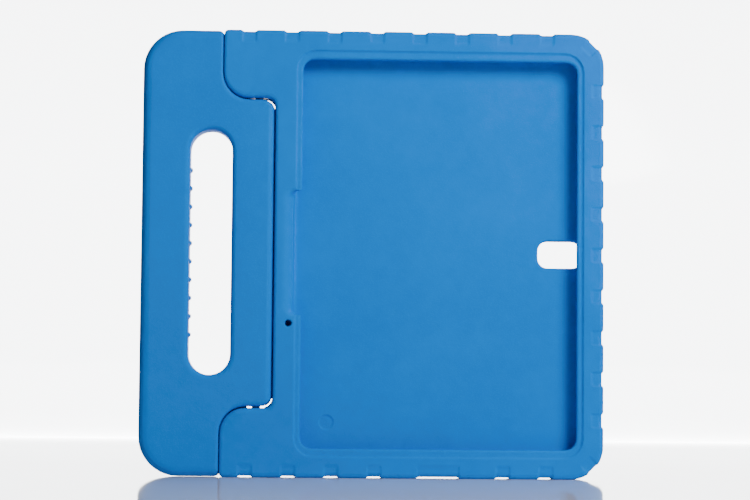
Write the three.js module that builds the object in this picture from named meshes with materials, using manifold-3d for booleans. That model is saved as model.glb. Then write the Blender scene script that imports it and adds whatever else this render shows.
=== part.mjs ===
// A children's tablet case in soft foam with a swinging carry handle.
// Millimetres, +X to the right, +Z up, +Y to the back. It stands on its short side at z = 0.
import * as THREE from "three";
import { mergeVertices } from "three/addons/utils/BufferGeometryUtils.js";
import Module from "manifold-3d";

const wasm = await Module();
wasm.setup();

// The tablet that the case is moulded round
const tabletLong = 243;
const tabletShort = 176;
const tabletThick = 8;
const tabletCorner = 7.5;
const tabletFit = 0.5;

// Foam walls of the case
const caseThick = 20;
const wallSide = 11.5;
const wallEnd = 13.5;
const caseCorner = 20;
const frontEdge = 2.5;
const backEdge = 4;
const seamEdge = 1.5;
const floorFillet = 2.5;

// The lip that holds the tablet in, and the shallow step round it
const lipSide = 5;
const lipEnd = 4;
const lipThick = 3;
const lipEdge = 1.2;
const mouthCorner = 7;
const stepSide = 3.5;
const stepEnd = 4.8;
const stepDepth = 1;
const stepSlope = 0.4;

// The gap in the lip that leaves the tablet's keys free
const keyGapLength = 75;
const keyGapCorner = 4;
const keyGapEdge = 2;
const keyGapRamp = 7;
const keyGapSink = 0.3;

// Camera window through the back, and the small holes
const windowWidth = 27;
const windowHeight = 16.5;
const windowFromWall = 0.6;
const windowAboveMiddle = 1;
const windowCorner = 6;
const windowEdge = 1;
const tetherHoleRadius = 2;
const tetherHoleDepth = 12;
const tetherHoleBelowMiddle = 42.7;
const tetherHoleFromMouth = 7.6;
const mouldMarkRadius = 4.6;
const mouldMarkDepth = 0.5;
const mouldMarkFromSide = 20.9;
const mouldMarkFromEnd = 19.7;

// Grip grooves round the outside
const grooveWidth = 10;
const grooveDepth = 1;
const grooveFaceDepth = 0.5;
const grooveSlope = 1.4;
const grooveRunOut = 3;
const grooveWrap = 9.5;
const groovePitchEnd = 25.9;
const groovesEnd = 8;
const firstGrooveEnd = 35.1;
const groovePitchSide = 25;
const groovesSide = 9;
const portGrooveWidth = 27;

// Hinge between the two ears of the case and the tongue of the handle
const seam = 0.5;
const hingeGap = 1;
const hingeEdge = 3;
const earReach = 31.7;
const earHeight = 41.5;
const earCorner = 15;
const earNotch = 2.5;
const hingeBackEdge = 8.5;
const hollowCorner = 5.5;
const cornerOpening = 2.2;
const noseEdge = 4.5;
const pinRadius = 2.5;
const pinFit = 0.15;
const pinInSleeve = 19;
const sleeveWall = 1.9;
const sleeveLength = 21;
const sleeveRibs = 8;
const sleeveRib = 0.6;
const sleeveSeat = 0.3;

// The handle
const handleThick = 19.2;
const handleWidth = 48.4;
const handleCorner = 24;
const handleEdge = 5.5;
const handleLift = 0.3;
const slotWidth = 25.4;
const slotHeight = 148.5;
const slotFromOutside = 29.2;
const slotEdge = 3;
const ridgeCount = 10;
const ridgePitch = 11.1;
const ridgeHeight = 1.6;
const ridgeHalfWidth = 1.6;
const ridgeHalfLength = 6.2;

// How finely round edges and corners are divided
const edgeSteps = 4;
const softSteps = 5;
const cornerSteps = 8;
const notchSteps = 3;
const holeSteps = 16;
const roundSteps = 24;
const leastCorner = 0.4;
const leastSide = 0.1;
const leastLevel = 0.15;
const overcut = 2;
const clean = 0.2;

// Places that follow from the sizes above
const bayWidth = tabletShort + 2 * tabletFit;
const bayHeight = tabletLong + 2 * tabletFit;
const caseWidth = bayWidth + 2 * wallSide;
const caseHeight = bayHeight + 2 * wallEnd;
const overallWidth = caseWidth + earReach + seam + handleWidth;
const middleZ = caseHeight / 2;
const faceY = caseThick / 2;
const caseRight = overallWidth / 2;
const caseLeft = caseRight - caseWidth;
const bay = {
  left: caseLeft + wallSide,
  right: caseRight - wallSide,
  bottom: wallEnd,
  top: caseHeight - wallEnd,
};
const mouth = {
  left: bay.left + lipSide,
  right: bay.right - lipSide,
  bottom: bay.bottom + lipEnd,
  top: bay.top - lipEnd,
};
const lipFrontY = -faceY + stepDepth;
const lipBackY = lipFrontY + lipThick;
const floorY = lipBackY + tabletThick + tabletFit;
const earLeft = caseLeft - earReach;
const lowerEarZ = earHeight;
const upperEarZ = caseHeight - earHeight;
const tongueEnd = caseLeft - seam;
const noseRadius = handleThick / 2;
const hingeX = tongueEnd - noseRadius;
const shoulderX = earLeft - seam;
const handleLeft = shoulderX - handleWidth;
const lowerTongueZ = lowerEarZ + hingeGap;
const upperTongueZ = upperEarZ - hingeGap;
const tongueCorner = hollowCorner + cornerOpening;
const sleeveBore = pinRadius + pinFit;
const sleeveRadius = sleeveBore + sleeveWall;
const sleeveOuter = sleeveRadius + sleeveRib;

// How far a face's edge, rounded with the given radius, stands back at a depth below that face.
function roundedBack(radius, depth) {
  if (depth >= radius) return 0;
  const rise = radius - Math.max(depth, 0);
  return radius - Math.sqrt(radius * radius - rise * rise);
}

// Depths that divide a quarter round of the given radius evenly by angle.
function quarterDepths(radius, steps = edgeSteps) {
  const depths = [];
  for (let i = 0; i <= steps; i++) {
    depths.push(radius * (1 - Math.cos((i / steps) * (Math.PI / 2))));
  }
  return depths;
}

// A closed outline with rounded corners, each side moved inwards by its own inset.
// Corners run anticlockwise; a hollow corner's radius grows as its sides move in.
function filletedOutline(corners, insets) {
  const count = corners.length;
  const points = corners.map((c) => new THREE.Vector2(c.x, c.z));
  const along = points.map((p, i) => points[(i + 1) % count].clone().sub(p).normalize());
  const inward = along.map((d) => new THREE.Vector2(-d.y, d.x));
  const outline = [];
  for (let i = 0; i < count; i++) {
    const before = (i + count - 1) % count;
    const turn = along[before].cross(along[i]);
    const angle = Math.abs(Math.atan2(turn, along[before].dot(along[i])));
    const first = points[i].clone().addScaledVector(inward[before], insets[before]);
    const second = points[i].clone().addScaledVector(inward[i], insets[i]);
    const reach = second.clone().sub(first).cross(along[i]) / turn;
    const corner = first.addScaledVector(along[before], reach);
    const inset = (insets[before] + insets[i]) / 2;
    const wanted = turn > 0 ? corners[i].r - inset : corners[i].r + inset;
    const radius = Math.max(wanted, leastCorner);
    const back = radius * Math.tan(angle / 2);
    const side = Math.sign(turn);
    const start = corner.clone().addScaledVector(along[before], -back);
    const centre = start.clone().addScaledVector(inward[before], radius * side);
    const steps = corners[i].steps;
    for (let k = 0; k <= steps; k++) {
      const spoke = start.clone().rotateAround(centre, (side * angle * k) / steps);
      outline.push(spoke);
    }
  }
  return outline;
}

// The skin through a row of outlines, each at its own y, with flat ends.
function loft(levels) {
  const size = levels[0].outline.length;
  const positions = [];
  for (const level of levels) {
    for (const p of level.outline) positions.push(p.x, level.y, p.y);
  }
  const faces = [];
  for (let k = 0; k + 1 < levels.length; k++) {
    for (let i = 0; i < size; i++) {
      const a = k * size + i;
      const b = k * size + ((i + 1) % size);
      faces.push(a, b + size, b, a, a + size, b + size);
    }
  }
  const last = (levels.length - 1) * size;
  for (const [a, b, c] of THREE.ShapeUtils.triangulateShape(levels[0].outline, [])) {
    faces.push(a, b, c);
  }
  for (const [a, b, c] of THREE.ShapeUtils.triangulateShape(levels.at(-1).outline, [])) {
    faces.push(last + c, last + b, last + a);
  }
  const geometry = new THREE.BufferGeometry();
  geometry.setAttribute("position", new THREE.Float32BufferAttribute(positions, 3));
  geometry.setIndex(faces);
  return geometry;
}

// A slab between two y planes whose sides are rounded into the front and the back face.
// Each corner also holds the edge radii of the side that follows it.
function roundedSlab(corners, frontY, backY) {
  const depths = new Set();
  for (const corner of corners) {
    for (const depth of quarterDepths(corner.front)) depths.add(frontY + depth);
    for (const depth of quarterDepths(corner.back)) depths.add(backY - depth);
  }
  const heights = [...depths].sort((a, b) => a - b);
  const spaced = heights.filter((y, i) => i === 0 || y - heights[i - 1] > leastLevel);
  const levels = spaced.map((y) => ({
    y,
    outline: filletedOutline(
      corners,
      corners.map((c) => roundedBack(c.front, y - frontY) + roundedBack(c.back, backY - y)),
    ),
  }));
  return loft(levels);
}

// A cutter with a straight run between two y planes and a rounded flare where it leaves
// the foam: frontFlare and backFlare are radii, 0 for a square end.
function flaredCutter(corners, frontY, backY, frontFlare, backFlare) {
  const all = (inset) => corners.map(() => inset);
  const levels = [];
  levels.push({ y: frontY - overcut, inset: -frontFlare });
  if (frontFlare > 0) {
    for (const depth of quarterDepths(frontFlare)) {
      levels.push({ y: frontY + depth, inset: -roundedBack(frontFlare, depth) });
    }
  }
  if (backFlare > 0) {
    for (const depth of quarterDepths(backFlare).reverse()) {
      levels.push({ y: backY - depth, inset: -roundedBack(backFlare, depth) });
    }
  }
  levels.push({ y: backY + overcut, inset: -backFlare });
  return loft(levels.map((l) => ({ y: l.y, outline: filletedOutline(corners, all(l.inset)) })));
}

// Corners of an upright rectangle with one corner radius.
function rectangle({ left, right, bottom, top }, r, steps) {
  return [
    { x: left, z: bottom, r, steps },
    { x: right, z: bottom, r, steps },
    { x: right, z: top, r, steps },
    { x: left, z: top, r, steps },
  ];
}

function solidOf(geometry) {
  const bare = geometry.clone();
  bare.deleteAttribute("normal");
  bare.deleteAttribute("uv");
  const merged = mergeVertices(bare.index ? bare.toNonIndexed() : bare, 1e-4);
  return new wasm.Manifold(
    new wasm.Mesh({
      numProp: 3,
      vertProperties: merged.attributes.position.array,
      triVerts: new Uint32Array(merged.index.array),
    }),
  );
}

function geometryOf(solid) {
  const mesh = solid.getMesh();
  const geometry = new THREE.BufferGeometry();
  geometry.setAttribute("position", new THREE.BufferAttribute(mesh.vertProperties, 3));
  geometry.setIndex(new THREE.BufferAttribute(mesh.triVerts, 1));
  geometry.computeVertexNormals();
  return geometry;
}

// An upright round bar between two heights on the hinge axis.
function barOnHinge(radius, fromZ, toZ) {
  const bar = new THREE.CylinderGeometry(radius, radius, toZ - fromZ, roundSteps);
  return bar.rotateX(Math.PI / 2).translate(hingeX, 0, (fromZ + toZ) / 2);
}

// One grip groove, for a wall that faces +Z at z = 0. It follows the wall and wraps onto
// both faces, where it runs out in a slope.
function grooveCutter(width) {
  const bandSection = (sink, faceSink) => {
    const side = faceY - faceSink;
    const outside = faceY + 2 * clean;
    return filletedOutline(
      [
        { x: -outside, z: -grooveWrap - overcut, r: leastCorner, steps: 1 },
        { x: outside, z: -grooveWrap - overcut, r: leastCorner, steps: 1 },
        { x: outside, z: -grooveWrap, r: leastCorner, steps: 1 },
        { x: side, z: -grooveWrap + grooveRunOut, r: leastCorner, steps: 1 },
        { x: side, z: -sink, r: frontEdge, steps: edgeSteps },
        { x: -side, z: -sink, r: backEdge, steps: edgeSteps },
        { x: -side, z: -grooveWrap + grooveRunOut, r: leastCorner, steps: 1 },
        { x: -outside, z: -grooveWrap, r: leastCorner, steps: 1 },
      ],
      Array(8).fill(0),
    );
  };
  const half = width / 2;
  const core = loft([
    { y: -half - overcut, outline: bandSection(-clean, -clean) },
    { y: -half, outline: bandSection(-clean, -clean) },
    { y: -half + grooveSlope, outline: bandSection(grooveDepth, grooveFaceDepth) },
    { y: half - grooveSlope, outline: bandSection(grooveDepth, grooveFaceDepth) },
    { y: half, outline: bandSection(-clean, -clean) },
    { y: half + overcut, outline: bandSection(-clean, -clean) },
  ]).rotateZ(-Math.PI / 2);
  const height = grooveWrap + overcut;
  const block = new THREE.BoxGeometry(width, caseThick + 2 * overcut, height);
  block.translate(0, 0, overcut - height / 2);
  return geometryOf(solidOf(block).subtract(solidOf(core)));
}

// The grooves of one wall: turned about y to face outwards, then moved to their places.
function placedGroove(width, turn, x, z) {
  return solidOf(grooveCutter(width).rotateY(turn).translate(x, 0, z));
}

function caseBody() {
  const outer = { front: frontEdge, back: backEdge };
  const seamSide = { front: seamEdge, back: hingeBackEdge };
  const hingeSide = { front: hingeEdge, back: backEdge };
  const notch = { r: earNotch, steps: notchSteps };
  const round = { r: caseCorner, steps: cornerSteps };
  const ear = { r: earCorner, steps: cornerSteps };
  const hollow = { r: hollowCorner, steps: softSteps };
  const outline = [
    { x: earLeft, z: 0, ...notch, ...outer },
    { x: caseRight, z: 0, ...round, ...outer },
    { x: caseRight, z: caseHeight, ...round, ...outer },
    { x: earLeft, z: caseHeight, ...notch, ...seamSide },
    { x: earLeft, z: upperEarZ, ...ear, ...hingeSide },
    { x: caseLeft, z: upperEarZ, ...hollow, ...seamSide },
    { x: caseLeft, z: lowerEarZ, ...hollow, ...hingeSide },
    { x: earLeft, z: lowerEarZ, ...ear, ...seamSide },
  ];
  let body = solidOf(roundedSlab(outline, -faceY, faceY));

  // The bay under the lip, with a soft fillet where its walls meet the floor
  const bayCorners = rectangle(bay, tabletCorner + tabletFit, softSteps);
  const bayLevels = [{ y: lipBackY, inset: 0 }];
  for (const depth of quarterDepths(floorFillet).reverse()) {
    bayLevels.push({ y: floorY - depth, inset: roundedBack(floorFillet, depth) });
  }
  const bayCut = loft(
    bayLevels.map((l) => ({
      y: l.y,
      outline: filletedOutline(bayCorners, Array(4).fill(l.inset)),
    })),
  );
  body = body.subtract(solidOf(bayCut));

  // The mouth inside the lip, and the step round it
  const mouthCorners = rectangle(mouth, mouthCorner, softSteps);
  body = body.subtract(
    solidOf(flaredCutter(mouthCorners, lipFrontY, lipBackY, lipEdge, 0)),
  );
  const stepInsets = (wider) => [-stepEnd - wider, -stepSide - wider, -stepEnd - wider, -stepSide - wider];
  const stepLevels = [
    { y: -faceY - overcut, insets: stepInsets((stepSlope / stepDepth) * (stepDepth + overcut)) },
    { y: lipFrontY, insets: stepInsets(0) },
  ];
  body = body.subtract(
    solidOf(
      loft(
        stepLevels.map((l) => ({
          y: l.y,
          outline: filletedOutline(mouthCorners, l.insets),
        })),
      ),
    ),
  );

  // The gap in the lip beside the tablet's keys: a T with its bar inside the mouth. The
  // foam slopes down to the keys from the side and has a tighter edge at both ends.
  const keyLow = middleZ - keyGapLength / 2;
  const keyHigh = middleZ + keyGapLength / 2;
  const keyBar = 2 * keyGapCorner;
  const keyLeft = bay.left - keyGapSink;
  const stemRight = mouth.left + keyGapEdge;
  const soft = { r: keyGapCorner, steps: softSteps };
  const plain = { r: leastCorner, steps: 1 };
  const keyCorners = [
    { x: keyLeft, z: keyLow, ...soft, flare: keyGapEdge },
    { x: stemRight, z: keyLow, ...soft, flare: keyGapEdge },
    { x: stemRight, z: keyLow - keyBar, ...plain, flare: keyGapEdge },
    { x: stemRight + keyBar, z: keyLow - keyBar, ...plain, flare: keyGapEdge },
    { x: stemRight + keyBar, z: keyHigh + keyBar, ...plain, flare: keyGapEdge },
    { x: stemRight, z: keyHigh + keyBar, ...plain, flare: keyGapEdge },
    { x: stemRight, z: keyHigh, ...soft, flare: keyGapEdge },
    { x: keyLeft, z: keyHigh, ...soft, flare: keyGapRamp },
  ];
  const lipDepth = stepDepth + lipThick;
  const keyDepths = [...quarterDepths(keyGapEdge), ...quarterDepths(keyGapRamp), lipDepth];
  const keyLevels = [{ y: -faceY - overcut, insets: keyCorners.map((c) => -c.flare) }];
  for (const depth of keyDepths.sort((m, n) => m - n)) {
    const gained = depth - faceY - keyLevels.at(-1).y;
    if (gained < leastLevel || depth > lipDepth) continue;
    const insets = keyCorners.map((c) => -roundedBack(c.flare, depth));
    keyLevels.push({ y: depth - faceY, insets });
  }
  keyLevels.push({ y: lipBackY + overcut / 2, insets: keyCorners.map(() => 2 * keyGapSink) });
  body = body.subtract(
    solidOf(
      loft(
        keyLevels.map((l) => ({ y: l.y, outline: filletedOutline(keyCorners, l.insets) })),
      ),
    ),
  );

  // Camera window through the back
  const windowRight = bay.right - windowFromWall;
  const windowMiddle = middleZ + windowAboveMiddle;
  const windowCorners = rectangle(
    {
      left: windowRight - windowWidth,
      right: windowRight,
      bottom: windowMiddle - windowHeight / 2,
      top: windowMiddle + windowHeight / 2,
    },
    windowCorner,
    softSteps,
  );
  body = body.subtract(
    solidOf(flaredCutter(windowCorners, floorY, faceY, windowEdge, windowEdge)),
  );

  // Tether hole beside the lip, and the round mark that the mould leaves in the floor
  const hole = new THREE.CylinderGeometry(
    tetherHoleRadius,
    tetherHoleRadius,
    tetherHoleDepth + overcut,
    holeSteps,
  );
  hole.translate(
    mouth.left - tetherHoleFromMouth,
    -faceY + (tetherHoleDepth - overcut) / 2,
    middleZ - tetherHoleBelowMiddle,
  );
  body = body.subtract(solidOf(hole));
  const mark = new THREE.CylinderGeometry(
    mouldMarkRadius,
    mouldMarkRadius,
    mouldMarkDepth + overcut,
    roundSteps,
  );
  mark.translate(
    bay.left + mouldMarkFromSide,
    floorY + (mouldMarkDepth - overcut) / 2,
    bay.bottom + mouldMarkFromEnd,
  );
  body = body.subtract(solidOf(mark));

  // Grip grooves along the top, the side and the bottom, and across the two corners
  const bayMiddleX = (bay.left + bay.right) / 2;
  for (let i = 0; i < groovesEnd; i++) {
    const x = caseRight - firstGrooveEnd - i * groovePitchEnd;
    body = body.subtract(placedGroove(grooveWidth, 0, x, caseHeight));
    const clearOfPort = (portGrooveWidth + grooveWidth) / 2;
    if (Math.abs(x - bayMiddleX) > clearOfPort) {
      body = body.subtract(placedGroove(grooveWidth, Math.PI, x, 0));
    }
  }
  body = body.subtract(placedGroove(portGrooveWidth, Math.PI, bayMiddleX, 0));
  for (let i = 0; i < groovesSide; i++) {
    const z = middleZ + (i - (groovesSide - 1) / 2) * groovePitchSide;
    body = body.subtract(placedGroove(grooveWidth, Math.PI / 2, caseRight, z));
  }
  const slant = caseCorner * (1 - Math.SQRT1_2);
  body = body.subtract(
    placedGroove(grooveWidth, Math.PI / 4, caseRight - slant, caseHeight - slant),
  );
  body = body.subtract(
    placedGroove(grooveWidth, (3 * Math.PI) / 4, caseRight - slant, slant),
  );

  // Blind bores in the ears for the hinge sleeves
  const seat = sleeveOuter + sleeveSeat;
  const boreDepth = 2 * sleeveSeat + sleeveLength;
  const upperBore = barOnHinge(seat, upperEarZ - overcut, upperEarZ + boreDepth);
  const lowerBore = barOnHinge(seat, lowerEarZ - boreDepth, lowerEarZ + overcut);
  return body.subtract(solidOf(upperBore)).subtract(solidOf(lowerBore));
}

function carryHandle() {
  const outer = { front: handleEdge, back: handleEdge };
  const seamSide = { front: seamEdge, back: handleEdge };
  const hingeSide = { front: hingeEdge, back: handleEdge };
  const lowZ = handleLift;
  const highZ = caseHeight - handleLift;
  // The hollows that take the ears keep the seam's width at the middle of their turn
  const middleOffset = (seam + hingeGap) / Math.SQRT2;
  const hollowRadius = earCorner + (middleOffset - seam) / (Math.SQRT2 - 1);
  const round = { r: handleCorner, steps: cornerSteps + 2 };
  const notch = { r: earNotch, steps: notchSteps };
  const hollow = { r: hollowRadius, steps: cornerSteps };
  const tongue = { r: tongueCorner, steps: softSteps };
  const outline = [
    { x: handleLeft, z: lowZ, ...round, ...outer },
    { x: shoulderX, z: lowZ, ...notch, ...seamSide },
    { x: shoulderX, z: lowerTongueZ, ...hollow, ...hingeSide },
    { x: tongueEnd, z: lowerTongueZ, ...tongue, ...seamSide },
    { x: tongueEnd, z: upperTongueZ, ...tongue, ...hingeSide },
    { x: shoulderX, z: upperTongueZ, ...hollow, ...seamSide },
    { x: shoulderX, z: highZ, ...notch, ...outer },
    { x: handleLeft, z: highZ, ...round, ...outer },
  ];
  let handle = solidOf(roundedSlab(outline, -handleThick / 2, handleThick / 2));

  // The tongue's end has a soft edge in front and is round about the hinge axis behind
  const noseSweep = THREE.MathUtils.degToRad(80);
  const reach = noseRadius + overcut;
  const nose = new THREE.Shape();
  nose.moveTo(handleLeft - overcut, -reach);
  nose.lineTo(tongueEnd - noseEdge - overcut, -reach);
  for (let i = -cornerSteps; i <= 0; i++) {
    const angle = (noseSweep * i) / cornerSteps;
    const x = tongueEnd - noseEdge + noseEdge * Math.cos(angle);
    nose.lineTo(x, noseEdge - noseRadius + noseEdge * Math.sin(angle));
  }
  for (let i = 0; i <= cornerSteps; i++) {
    const angle = (noseSweep * i) / cornerSteps;
    nose.lineTo(hingeX + noseRadius * Math.cos(angle), noseRadius * Math.sin(angle));
  }
  nose.lineTo(hingeX - overcut, reach);
  nose.lineTo(handleLeft - overcut, reach);
  const noseBar = new THREE.ExtrudeGeometry(nose, {
    depth: caseHeight + 2 * overcut,
    bevelEnabled: false,
  });
  noseBar.translate(0, 0, -overcut);
  handle = handle.intersect(solidOf(noseBar));

  // Grip slot with soft edges, and the small ridges for the fingers on its outer wall
  const slotLeft = handleLeft + slotFromOutside;
  const slotCorners = rectangle(
    {
      left: slotLeft,
      right: slotLeft + slotWidth,
      bottom: middleZ - slotHeight / 2,
      top: middleZ + slotHeight / 2,
    },
    (slotWidth - leastSide) / 2,
    cornerSteps + 2,
  );
  handle = handle.subtract(
    solidOf(
      flaredCutter(slotCorners, -handleThick / 2, handleThick / 2, slotEdge, slotEdge),
    ),
  );
  for (let i = 0; i < ridgeCount; i++) {
    const ridge = new THREE.SphereGeometry(1, cornerSteps, cornerSteps);
    ridge.scale(ridgeHeight, ridgeHalfLength, ridgeHalfWidth);
    ridge.translate(slotLeft, 0, middleZ + (i - (ridgeCount - 1) / 2) * ridgePitch);
    handle = handle.add(solidOf(ridge));
  }

  // Blind bores for the sleeves that hold the pins
  const seat = sleeveOuter + sleeveSeat;
  const boreDepth = 2 * sleeveSeat + sleeveLength;
  const upperBore = barOnHinge(seat, upperTongueZ - boreDepth, upperTongueZ + overcut);
  const lowerBore = barOnHinge(seat, lowerTongueZ - overcut, lowerTongueZ + boreDepth);
  return handle.subtract(solidOf(upperBore)).subtract(solidOf(lowerBore));
}

// A plastic tube with ribs along it, which stop it turning in the foam.
function sleeve() {
  const ringOf = (radius, from, to, steps) => {
    const points = [];
    for (let i = 0; i <= steps; i++) {
      const angle = from + ((to - from) * i) / steps;
      points.push(new THREE.Vector2(radius * Math.cos(angle), radius * Math.sin(angle)));
    }
    return points;
  };
  const pitch = (Math.PI * 2) / sleeveRibs;
  const outer = [];
  for (let i = 0; i < sleeveRibs; i++) {
    outer.push(...ringOf(sleeveOuter, (i - 0.15) * pitch, (i + 0.15) * pitch, 1));
    outer.push(...ringOf(sleeveRadius, (i + 0.3) * pitch, (i + 0.7) * pitch, 2));
  }
  const section = new THREE.Shape(outer);
  const bore = ringOf(sleeveBore, 0, Math.PI * 2, roundSteps).slice(0, -1).reverse();
  section.holes.push(new THREE.Path(bore));
  return new THREE.ExtrudeGeometry(section, { depth: sleeveLength, bevelEnabled: false });
}

// A round pin with its ends chamfered, standing on z = 0.
function hingePin(length) {
  const chamfer = pinRadius / 5;
  const profile = [
    new THREE.Vector2(0, 0),
    new THREE.Vector2(pinRadius - chamfer, 0),
    new THREE.Vector2(pinRadius, chamfer),
    new THREE.Vector2(pinRadius, length - chamfer),
    new THREE.Vector2(pinRadius - chamfer, length),
    new THREE.Vector2(0, length),
  ];
  return new THREE.LatheGeometry(profile, roundSteps).rotateX(Math.PI / 2);
}

const foamBlue = new THREE.MeshStandardMaterial({
  color: 0x1f86c8,
  roughness: 0.62,
  metalness: 0,
});
const sleevePlastic = new THREE.MeshStandardMaterial({
  color: 0x1b2a3c,
  roughness: 0.45,
  metalness: 0,
});
const pinPlastic = new THREE.MeshStandardMaterial({
  color: 0xd9dde0,
  roughness: 0.35,
  metalness: 0,
});

function named(name, geometry, material) {
  const mesh = new THREE.Mesh(geometry, material);
  mesh.name = name;
  return mesh;
}

const tabletCase = new THREE.Group();
tabletCase.add(named("case_body", geometryOf(caseBody()), foamBlue));
tabletCase.add(named("handle", geometryOf(carryHandle()), foamBlue.clone()));

// Hinge parts: a sleeve in each ear, a sleeve in each end of the tongue, a pin in each pair
const hinge = new THREE.Group();
hinge.position.set(hingeX, 0, 0);
const pinLength = 2 * (pinInSleeve + sleeveSeat) + hingeGap;
const hingeParts = [
  ["ear_sleeve_upper", sleeve(), sleevePlastic, upperEarZ + sleeveSeat],
  ["ear_sleeve_lower", sleeve(), sleevePlastic, lowerEarZ - sleeveSeat - sleeveLength],
  ["handle_sleeve_upper", sleeve(), sleevePlastic, upperTongueZ - sleeveSeat - sleeveLength],
  ["handle_sleeve_lower", sleeve(), sleevePlastic, lowerTongueZ + sleeveSeat],
  ["hinge_pin_upper", hingePin(pinLength), pinPlastic, upperTongueZ - sleeveSeat - pinInSleeve],
  ["hinge_pin_lower", hingePin(pinLength), pinPlastic, lowerEarZ - sleeveSeat - pinInSleeve],
];
for (const [name, geometry, material, z] of hingeParts) {
  const mesh = named(name, geometry, material.clone());
  mesh.position.z = z;
  hinge.add(mesh);
}
tabletCase.add(hinge);

export default tabletCase;
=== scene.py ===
# A children's tablet case in blue foam, standing on its short side on a pale table.
import math

import bmesh
import bpy
from mathutils import Matrix, Vector
from mathutils.bvhtree import BVHTree


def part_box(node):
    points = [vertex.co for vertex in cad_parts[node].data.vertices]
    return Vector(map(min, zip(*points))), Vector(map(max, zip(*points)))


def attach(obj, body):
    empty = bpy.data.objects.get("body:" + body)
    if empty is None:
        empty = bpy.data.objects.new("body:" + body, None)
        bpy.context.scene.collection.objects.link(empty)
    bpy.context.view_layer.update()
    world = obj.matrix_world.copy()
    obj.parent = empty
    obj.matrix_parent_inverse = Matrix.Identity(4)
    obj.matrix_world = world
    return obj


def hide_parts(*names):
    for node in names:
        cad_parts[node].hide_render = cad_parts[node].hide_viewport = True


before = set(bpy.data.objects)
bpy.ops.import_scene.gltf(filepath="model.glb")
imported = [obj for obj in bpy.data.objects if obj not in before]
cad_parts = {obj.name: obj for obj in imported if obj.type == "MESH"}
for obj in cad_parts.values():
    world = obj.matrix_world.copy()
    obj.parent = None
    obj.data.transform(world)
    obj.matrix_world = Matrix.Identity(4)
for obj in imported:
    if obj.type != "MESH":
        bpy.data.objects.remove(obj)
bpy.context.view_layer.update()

scene = bpy.context.scene
print("frame loaded:", sorted(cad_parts))


# Lets shader maths be written as plain arithmetic.
class shaderValue:
    def __init__(self, build, socket):
        self.build = build
        self.socket = socket

    def __add__(self, other):
        return self.build.maths("ADD", self, other)

    def __radd__(self, other):
        return self.build.maths("ADD", other, self)

    def __sub__(self, other):
        return self.build.maths("SUBTRACT", self, other)

    def __rsub__(self, other):
        return self.build.maths("SUBTRACT", other, self)

    def __mul__(self, other):
        return self.build.maths("MULTIPLY", self, other)

    def __rmul__(self, other):
        return self.build.maths("MULTIPLY", other, self)


class finishBuild:
    def __init__(self, name):
        self.material = bpy.data.materials.new(name)
        self.material.use_nodes = True
        self.tree = self.material.node_tree
        self.shader = self.tree.nodes["Principled BSDF"]

    def node(self, kind, settings, inputs, output=0):
        made = self.tree.nodes.new(kind)
        for key, value in settings.items():
            setattr(made, key, value)
        for key, value in inputs.items():
            self.plug(made.inputs[key], value)
        return shaderValue(self, made.outputs[output])

    def plug(self, socket, value):
        if isinstance(value, shaderValue):
            self.tree.links.new(value.socket, socket)
        else:
            socket.default_value = value

    def maths(self, operation, first, second):
        return self.node("ShaderNodeMath", {"operation": operation}, {0: first, 1: second})

    def noise(self, place, scale, detail=2.0, roughness=0.5):
        sizes = {"Vector": place, "Scale": scale, "Detail": detail, "Roughness": roughness}
        return self.node("ShaderNodeTexNoise", {}, sizes)

    def bumps(self, height):
        relief = {"Strength": 1.0, "Distance": 1.0, "Height": height}
        return self.node("ShaderNodeBump", {}, relief)

    def blendColour(self, amount, first, second):
        mix = {"data_type": "RGBA", "clamp_factor": True}
        return self.node("ShaderNodeMix", mix, {0: amount, 6: first, 7: second}, 2)

    def surface(self, **sockets):
        for name, value in sockets.items():
            self.plug(self.shader.inputs[name.replace("_", " ")], value)
        return self.material


foamLook = {
    "blue": (0.0003, 0.205, 0.745, 1),
    "paler": (0.0012, 0.235, 0.800, 1),
    "deeper": (0.0001, 0.186, 0.695, 1),
    "cloudScale": 16,         # per metre: soft patches about 6 cm across
    "mottleScale": 130,
    "grainScale": 1500,       # closed cells well under a millimetre
    "cloudShare": 0.7,
    "mottleShare": 0.3,
    "patchFrom": 0.38,        # where the patches go from the deeper to the plain blue
    "patchTo": 0.62,
    "speckFrom": 0.52,        # where a cell counts as a pale speck
    "speckTo": 0.72,
    "speckShare": 0.45,
    "roughness": 0.52,
    "mottleRoughness": 0.14,
    "speckRoughness": 0.05,
    "grainDepth": 0.00006,    # metres
    "waveDepth": 0.00012,
    "index": 1.46,
    "gloss": 0.07,
    "glossTint": (0.30, 0.80, 1.0, 1),
}


def foamFinish(name, look, shift):
    build = finishBuild(name)
    whole = build.node("ShaderNodeTexCoord", {}, {}, "Object")
    place = build.node(
        "ShaderNodeMapping", {}, {"Vector": whole, "Location": (shift, 0.4 * shift, 0)}
    )
    cloud = build.noise(place, look["cloudScale"], 3, 0.55)
    mottle = build.noise(place, look["mottleScale"], 2, 0.6)
    grain = build.noise(place, look["grainScale"], 1, 0.5)
    broad = build.node(
        "ShaderNodeMapRange",
        {},
        {
            "Value": cloud * look["cloudShare"] + mottle * look["mottleShare"],
            "From Min": look["patchFrom"],
            "From Max": look["patchTo"],
        },
    )
    base = build.blendColour(broad, look["deeper"], look["blue"])
    speck = build.node(
        "ShaderNodeMapRange",
        {},
        {"Value": grain, "From Min": look["speckFrom"], "From Max": look["speckTo"]},
    )
    colour = build.blendColour(speck * look["speckShare"], base, look["paler"])
    dull = look["roughness"] + (mottle - 0.5) * look["mottleRoughness"]
    return build.surface(
        Base_Color=colour,
        Roughness=dull + speck * look["speckRoughness"],
        Normal=build.bumps(grain * look["grainDepth"] + mottle * look["waveDepth"]),
        IOR=look["index"],
        Specular_IOR_Level=look["gloss"],
        Specular_Tint=look["glossTint"],
    )


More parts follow.
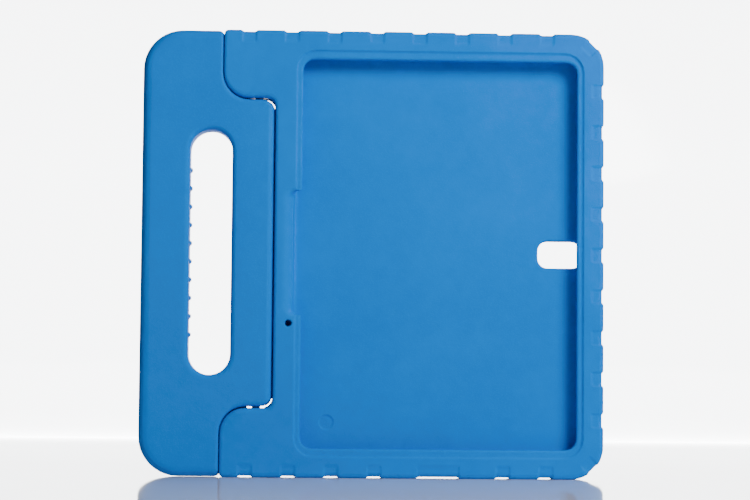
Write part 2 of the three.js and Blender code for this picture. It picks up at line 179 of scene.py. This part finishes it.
plasticLook = {
    "pin": (0.62, 0.64, 0.66, 1),
    "pinWorn": (0.48, 0.50, 0.52, 1),
    "sleeve": (0.020, 0.026, 0.036, 1),
    "sleeveWorn": (0.045, 0.052, 0.064, 1),
    "scuffScale": 420,
    "scuffShare": 0.6,
    "scuffRoughness": 0.15,
    "scuffDepth": 0.00003,
    "pinRoughness": 0.28,
    "sleeveRoughness": 0.42,
    "index": 1.5,
}


def plasticFinish(piece, look):
    build = finishBuild(piece + "_finish")
    place = build.node("ShaderNodeTexCoord", {}, {}, "Object")
    scuff = build.noise(place, look["scuffScale"], 4, 0.65)
    return build.surface(
        Base_Color=build.blendColour(
            scuff * look["scuffShare"], look[piece], look[piece + "Worn"]
        ),
        Roughness=look[piece + "Roughness"] + scuff * look["scuffRoughness"],
        Normal=build.bumps(scuff * look["scuffDepth"]),
        IOR=look["index"],
    )


caseFoam = foamFinish("case_foam_finish", foamLook, 0.0)
handleFoam = foamFinish("handle_foam_finish", foamLook, 0.37)
pinPlastic = plasticFinish("pin", plasticLook)
sleevePlastic = plasticFinish("sleeve", plasticLook)
print("finishes made")


caseMoulding = {
    "node": "case_body",
    "meets": "handle",
    "body": "case",
    "slot": "case_foam",
    "voxel": 0.0005,
    "soften": 2,          # rounds of smoothing, which give the edges their soft turn
    "keep": 0.15,         # share of the faces kept by the last thinning
}
handleMoulding = {
    "node": "handle",
    "meets": "case_body",
    "body": "carry_handle",
    "slot": "handle_foam",
    "voxel": 0.0005,
    "soften": 2,
    "keep": 0.38,
}


def addPiece(name, mesh, finish):
    piece = bpy.data.objects.new(name, mesh)
    scene.collection.objects.link(piece)
    piece.data.materials.clear()
    piece.data.materials.append(finish)
    return piece


def mergedCopy(node):
    form = bmesh.new()
    form.from_mesh(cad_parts[node].data)
    bmesh.ops.remove_doubles(form, verts=form.verts, dist=1e-6)
    mesh = bpy.data.meshes.new(node + "_copy")
    form.to_mesh(mesh)
    form.free()
    return mesh


# The two mouldings press on each other in the middle of their thickness, so that light
# comes through the seam only where it is widest, at the round corners of the tongue.
seamPress = {
    "reach": 0.0022,      # how far off the other moulding may be
    "band": 0.0022,       # half the width of the strip that is pressed
    "swell": 1.6,         # how soon the strip reaches its full height from its edges
    "closed": 0.00108,    # gaps up to this one close
    "open": 0.00140,      # gaps from this one on stay open,
    "opening": 0.0007,    # and are this wide
    "overlap": 0.00003,
}


def pressSeam(piece, otherNode):
    form = bmesh.new()
    form.from_mesh(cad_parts[otherNode].data)
    other = BVHTree.FromBMesh(form)
    form.free()
    pressed = []
    for vertex in piece.data.vertices:
        depth = abs(vertex.co.y) / seamPress["band"]
        if depth >= 1:
            continue
        near, normal, index, far = other.find_nearest(vertex.co, seamPress["reach"])
        if near is None or far == 0:
            continue
        pressed.append(vertex.index)
        between = (far - seamPress["closed"]) / (seamPress["open"] - seamPress["closed"])
        between = min(max(between, 0), 1)
        left = between * seamPress["opening"] - (1 - between) * seamPress["overlap"]
        strength = min(1, seamPress["swell"] * (1 - depth * depth))
        vertex.co += (near - vertex.co) * (0.5 * (1 - left / far) * strength)
    piece.vertex_groups.new(name="pressed").add(pressed, 1.0, "REPLACE")


def bakeModifiers(piece, name):
    bpy.context.view_layer.update()
    graph = bpy.context.evaluated_depsgraph_get()
    done = bpy.data.meshes.new_from_object(piece.evaluated_get(graph))
    piece.modifiers.clear()
    piece.data = done
    done.name = name


def foamPiece(name, moulding, finish):
    piece = addPiece(name, mergedCopy(moulding["node"]), finish)
    skin = piece.modifiers.new("skin", "REMESH")
    skin.mode = "VOXEL"
    skin.voxel_size = moulding["voxel"]
    soften = piece.modifiers.new("soften", "SMOOTH")
    soften.factor = 0.5
    soften.iterations = moulding["soften"]
    bakeModifiers(piece, name)
    pressSeam(piece, moulding["meets"])
    thin = piece.modifiers.new("thin", "DECIMATE")
    thin.ratio = moulding["keep"]
    thin.vertex_group = "pressed"
    thin.invert_vertex_group = True
    bakeModifiers(piece, name)
    piece.data.shade_smooth()
    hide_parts(moulding["node"])
    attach(piece, moulding["body"])
    print(name, "has", len(piece.data.polygons), "faces")
    return piece


foamPiece("foam_case", caseMoulding, caseFoam)
foamPiece("foam_handle", handleMoulding, handleFoam)


# hinge pins, each with a small rounded chamfer at both ends
pinMake = {"segments": 48, "chamfer": 0.0005, "chamferSteps": 3}


def hingePin(name, node):
    low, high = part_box(node)
    radius = (high.x - low.x) / 2
    middle = (low + high) / 2
    form = bmesh.new()
    bmesh.ops.create_cone(
        form,
        cap_ends=True,
        segments=pinMake["segments"],
        radius1=radius,
        radius2=radius,
        depth=high.z - low.z,
        matrix=Matrix.Translation(middle),
    )
    rims = [e for e in form.edges if abs(e.verts[0].co.z - e.verts[1].co.z) < 1e-6]
    bmesh.ops.bevel(
        form,
        geom=rims,
        offset=pinMake["chamfer"],
        segments=pinMake["chamferSteps"],
        profile=0.5,
        affect="EDGES",
        material=-1,
    )
    mesh = bpy.data.meshes.new(name)
    form.to_mesh(mesh)
    form.free()
    mesh.shade_smooth()
    pin = addPiece(name, mesh, pinPlastic)
    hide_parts(node)
    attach(pin, "carry_handle")
    return pin


hingePin("pin_upper", "hinge_pin_upper")
hingePin("pin_lower", "hinge_pin_lower")
for end in ("upper", "lower"):
    for side in ("ear_sleeve_", "handle_sleeve_"):
        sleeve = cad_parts[side + end]
        sleeve.data.materials.clear()
        sleeve.data.materials.append(sleevePlastic)
print("hinge dressed")


# a pale glossy table that sweeps up behind the case into a white wall,
# with a painted glow, a round patch on the wall and the back of the table, that fills the
# picture
tableSet = {
    "front": -6,
    "back": 1.5,
    "side": 6,
    "wallHeight": 1.9,
    "sweep": 0.35,
    "sweepSteps": 12,
    "colour": (0.80, 0.815, 0.84, 1),
    "roughness": 0.06,
    "hazeRoughness": 0.04,
    "hazeScale": 6,
    "glow": (0.97, 0.99, 1.0, 1),
    "glowStrength": 6.5,
    "glowFrom": 0.80,             # how far back the table starts to glow
    "glowFull": 1.45,
    "patch": (0.054, 1.5, 0.30),  # the middle of the painted glowing patch
    "patchInner": 0.60,
    "patchOuter": 0.95,
}


def paleTable():
    form = bmesh.new()
    ends = [
        form.verts.new((x, tableSet["front"], 0.0))
        for x in (-tableSet["side"], tableSet["side"])
    ]
    edge = form.edges.new(ends)
    steps = [(0, tableSet["back"] - tableSet["sweep"] - tableSet["front"], 0)]
    turn = math.pi / 2 / tableSet["sweepSteps"]
    length = tableSet["sweep"] * turn
    for i in range(tableSet["sweepSteps"]):
        angle = (i + 0.5) * turn
        steps.append((0, length * math.cos(angle), length * math.sin(angle)))
    steps.append((0, 0, tableSet["wallHeight"]))
    for step in steps:
        grown = bmesh.ops.extrude_edge_only(form, edges=[edge])["geom"]
        verts = [g for g in grown if isinstance(g, bmesh.types.BMVert)]
        edge = [g for g in grown if isinstance(g, bmesh.types.BMEdge)][0]
        bmesh.ops.translate(form, verts=verts, vec=Vector(step))
    bmesh.ops.recalc_face_normals(form, faces=form.faces)
    mesh = bpy.data.meshes.new("table")
    form.to_mesh(mesh)
    form.free()
    mesh.shade_smooth()
    build = finishBuild("table_finish")
    place = build.node("ShaderNodeTexCoord", {}, {}, "Object")
    haze = build.noise(place, tableSet["hazeScale"], 3, 0.5)
    along = build.node("ShaderNodeSeparateXYZ", {}, {"Vector": place}, "Y")
    lit = build.node(
        "ShaderNodeMapRange",
        {"interpolation_type": "SMOOTHSTEP"},
        {
            "Value": along,
            "From Min": tableSet["glowFrom"],
            "From Max": tableSet["glowFull"],
        },
    )
    away = build.node(
        "ShaderNodeVectorMath",
        {"operation": "DISTANCE"},
        {0: place, 1: tableSet["patch"]},
        1,
    )
    patch = build.node(
        "ShaderNodeMapRange",
        {"interpolation_type": "SMOOTHSTEP"},
        {
            "Value": away,
            "From Min": tableSet["patchOuter"],
            "From Max": tableSet["patchInner"],
        },
    )
    # painted glow: emission on the back of the table and the wall, brightest in the round
    # patch, which also sheds light on the case from behind
    finish = build.surface(
        Base_Color=tableSet["colour"],
        Roughness=tableSet["roughness"] + haze * tableSet["hazeRoughness"],
        Specular_IOR_Level=0.5,
        Emission_Color=build.blendColour(lit * patch, (0, 0, 0, 1), tableSet["glow"]),
        Emission_Strength=tableSet["glowStrength"],
    )
    return addPiece("table", mesh, finish)


paleTable()

lampSet = {
    "key": {
        "place": (0.58, -0.80, 0.74),
        "size": 0.50,
        "watts": 14.6,
        "tint": (1.0, 0.99, 0.97),
    },
    "fill": {
        "place": (-1.3, -1.5, 0.7),
        "size": 1.6,
        "watts": 1.5,
        "tint": (0.95, 0.98, 1.0),
    },
    "top": {
        "place": (0.1, -0.1, 1.5),
        "size": 1.2,
        "watts": 1.6,
        "tint": (1.0, 1.0, 1.0),
    },
}
lampTarget = Vector((0, 0, 0.13))
for lampName, lamp in lampSet.items():
    light = bpy.data.lights.new(lampName + "_lamp", "AREA")
    light.shape = "DISK"
    light.size = lamp["size"]
    light.energy = lamp["watts"]
    light.color = lamp["tint"]
    holder = bpy.data.objects.new(lampName + "_lamp", light)
    holder.location = lamp["place"]
    aim = lampTarget - Vector(lamp["place"])
    holder.rotation_euler = aim.to_track_quat("-Z", "Y").to_euler()
    scene.collection.objects.link(holder)

roomLight = {"colour": (0.93, 0.96, 1.0, 1), "strength": 0.05}
world = bpy.data.worlds.new("pale_room")
world.use_nodes = True
background = world.node_tree.nodes["Background"]
background.inputs["Color"].default_value = roomLight["colour"]
background.inputs["Strength"].default_value = roomLight["strength"]
scene.world = world

cameraSet = {
    "aimAt": (0.0015, 0.0, 0.1381),  # the point at the middle of the picture
    "distance": 1.34,
    "yaw": -2.0,                     # degrees, as the other turns
    "pitch": 3.8,
    "roll": -0.5,
    "lens": 105.6,
    "sensor": 36,
}
turned = (
    Matrix.Rotation(math.radians(cameraSet["yaw"]), 3, "Z")
    @ Matrix.Rotation(math.radians(cameraSet["pitch"]), 3, "X")
    @ Matrix.Rotation(math.radians(cameraSet["roll"]), 3, "Y")
)
camera = bpy.data.objects.new("camera", bpy.data.cameras.new("camera"))
camera.data.lens = cameraSet["lens"]
camera.data.sensor_width = cameraSet["sensor"]
camera.data.sensor_fit = "HORIZONTAL"
camera.data.clip_start = 0.05
camera.location = Vector(cameraSet["aimAt"]) - cameraSet["distance"] * turned.col[1]
camera.rotation_euler = (turned @ Matrix.Rotation(math.pi / 2, 3, "X")).to_euler()
scene.collection.objects.link(camera)
scene.camera = camera
print("stage set")
